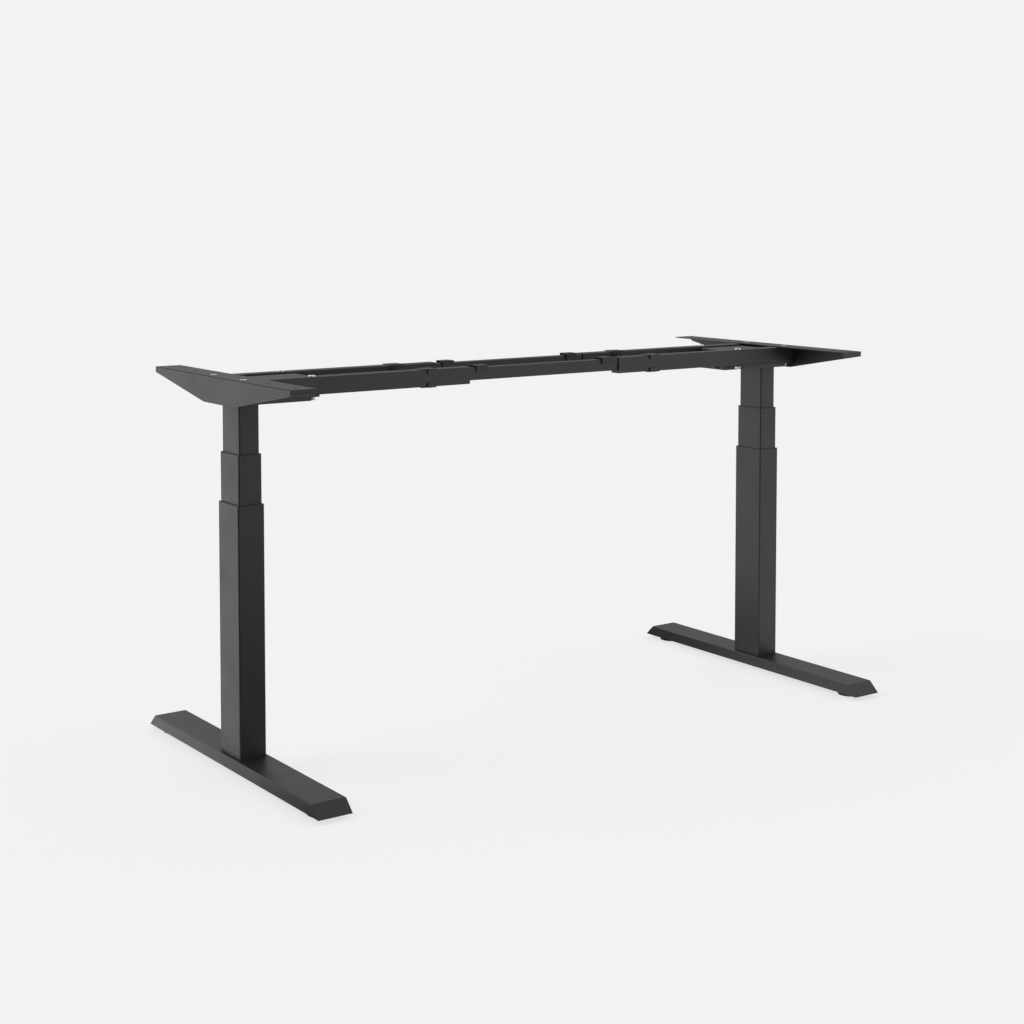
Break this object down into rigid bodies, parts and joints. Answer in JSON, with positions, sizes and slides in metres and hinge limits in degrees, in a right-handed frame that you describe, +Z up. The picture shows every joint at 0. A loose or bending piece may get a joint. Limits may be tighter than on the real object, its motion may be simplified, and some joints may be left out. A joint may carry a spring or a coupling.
{
  "type": "height adjustable standing desk frame",
  "caption": "Height-adjustable standing desk frame: telescopic motor columns on steel feet, width-adjustable rails and folded side brackets that carry a desk top.",
  "frame": {"origin": "on the floor, at the middle of the frame, under the levelling pads", "axes": "+X along the desk to the user's right, -Y towards the user, +Z up"},
  "size_m": [1.3854, 0.692, 0.736],
  "materials": {
    "powder_coat": "fine black powder coat",
    "black_plastic": "moulded black nylon",
    "nut_plastic": "natural acetal",
    "pads": "moulded black pad",
    "bright_screws": "bright zinc plate",
    "black_screws": "black oxide",
    "bright_steel": "oiled steel",
    "gearbox_metal": "die cast",
    "motor_metal": "plated can"
  },
  "bodies": {
    "left_base": {"left_foot": "powder_coat", "left_foot_bolts": "black_screws", "left_lower_tube": "powder_coat", "left_lower_glide": "black_plastic", "left_lift_post": "bright_steel"},
    "left_middle": {"left_middle_tube": "powder_coat", "left_middle_glide": "black_plastic", "left_middle_shoe": "black_plastic", "left_thrust_bearing": "bright_steel"},
    "left_head": {"left_upper_tube": "powder_coat", "left_upper_shoe": "black_plastic", "left_spindle_nut": "nut_plastic", "left_head_plate": "powder_coat", "left_head_bolts": "bright_screws", "left_side_bracket": "powder_coat", "left_gearbox": "gearbox_metal", "left_motor": "motor_metal", "left_motor_cover": "powder_coat", "left_clamp_screws": "black_screws", "left_rail_front": "powder_coat", "left_rail_back": "powder_coat", "left_guide_front": "black_plastic", "left_guide_back": "black_plastic", "left_clamp_front": "powder_coat", "left_clamp_back": "powder_coat"},
    "left_spindle": {"left_spindle": "bright_steel"},
    "left_shaft": {"left_drive_shaft": "bright_steel"},
    "left_leveller_front": {"left_leveller_front": "pads"},
    "left_leveller_back": {"left_leveller_back": "pads"},
    "right_base": {"right_foot": "powder_coat", "right_foot_bolts": "black_screws", "right_lower_tube": "powder_coat", "right_lower_glide": "black_plastic", "right_lift_post": "bright_steel"},
    "right_middle": {"right_middle_tube": "powder_coat", "right_middle_glide": "black_plastic", "right_middle_shoe": "black_plastic", "right_thrust_bearing": "bright_steel"},
    "right_head": {"right_upper_tube": "powder_coat", "right_upper_shoe": "black_plastic", "right_spindle_nut": "nut_plastic", "right_head_plate": "powder_coat", "right_head_bolts": "bright_screws", "right_side_bracket": "powder_coat", "right_gearbox": "gearbox_metal", "right_motor": "motor_metal", "right_motor_cover": "powder_coat", "right_clamp_screws": "black_screws", "right_rail_front": "powder_coat", "right_rail_back": "powder_coat", "right_guide_front": "black_plastic", "right_guide_back": "black_plastic", "right_clamp_front": "powder_coat", "right_clamp_back": "powder_coat"},
    "right_spindle": {"right_spindle": "bright_steel"},
    "right_shaft": {"right_drive_shaft": "bright_steel"},
    "right_leveller_front": {"right_leveller_front": "pads"},
    "right_leveller_back": {"right_leveller_back": "pads"},
    "centre_rails": {"centre_rail_front": "powder_coat", "centre_rail_back": "powder_coat"}
  },
  "joints": [
    {"name": "left_middle_lift", "type": "slide", "parent": "left_base", "child": "left_middle", "axis": [0, 0, 1], "range_m": [-0.086, 0.239]},
    {"name": "left_upper_lift", "type": "slide", "parent": "left_middle", "child": "left_head", "axis": [0, 0, 1], "range_m": [-0.086, 0.239]},
    {"name": "right_upper_lift", "type": "slide", "parent": "right_head", "child": "right_middle", "axis": [0, 0, -1], "range_m": [-0.086, 0.239]},
    {"name": "right_middle_lift", "type": "slide", "parent": "right_middle", "child": "right_base", "axis": [0, 0, -1], "range_m": [-0.086, 0.239]},
    {"name": "left_width", "type": "slide", "parent": "left_head", "child": "centre_rails", "axis": [1, 0, 0], "range_m": [-0.115, 0.115]},
    {"name": "right_width", "type": "slide", "parent": "centre_rails", "child": "right_head", "axis": [1, 0, 0], "range_m": [-0.115, 0.115]},
    {"name": "left_spindle_turn", "type": "hinge", "parent": "left_middle", "child": "left_spindle", "pos_m": [-0.648, 0, 0.35], "axis": [0, 0, 1], "range_deg": [-3240, 8640]},
    {"name": "left_shaft_turn", "type": "hinge", "parent": "left_head", "child": "left_shaft", "pos_m": [-0.648, 0, 0.71], "axis": [0, 0, 1], "range_deg": [-3240, 8640]},
    {"name": "left_front_levelling", "type": "slide", "parent": "left_base", "child": "left_leveller_front", "axis": [0, 0, -1], "range_m": [0, 0.008]},
    {"name": "left_back_levelling", "type": "slide", "parent": "left_base", "child": "left_leveller_back", "axis": [0, 0, -1], "range_m": [0, 0.008]},
    {"name": "right_spindle_turn", "type": "hinge", "parent": "right_middle", "child": "right_spindle", "pos_m": [0.648, 0, 0.35], "axis": [0, 0, 1], "range_deg": [-3240, 8640]},
    {"name": "right_shaft_turn", "type": "hinge", "parent": "right_head", "child": "right_shaft", "pos_m": [0.648, 0, 0.71], "axis": [0, 0, 1], "range_deg": [-3240, 8640]},
    {"name": "right_front_levelling", "type": "slide", "parent": "right_base", "child": "right_leveller_front", "axis": [0, 0, -1], "range_m": [0, 0.008]},
    {"name": "right_back_levelling", "type": "slide", "parent": "right_base", "child": "right_leveller_back", "axis": [0, 0, -1], "range_m": [0, 0.008]}
  ],
  "couplings": [
    {"joint": "left_upper_lift", "follows": "left_middle_lift", "ratio": 1},
    {"joint": "right_upper_lift", "follows": "left_middle_lift", "ratio": 1},
    {"joint": "right_middle_lift", "follows": "left_middle_lift", "ratio": 1},
    {"joint": "left_spindle_turn", "follows": "left_middle_lift", "rad_per_m": 628.32},
    {"joint": "left_shaft_turn", "follows": "left_middle_lift", "rad_per_m": 628.32},
    {"joint": "right_spindle_turn", "follows": "left_middle_lift", "rad_per_m": 628.32},
    {"joint": "right_shaft_turn", "follows": "left_middle_lift", "rad_per_m": 628.32}
  ]
}
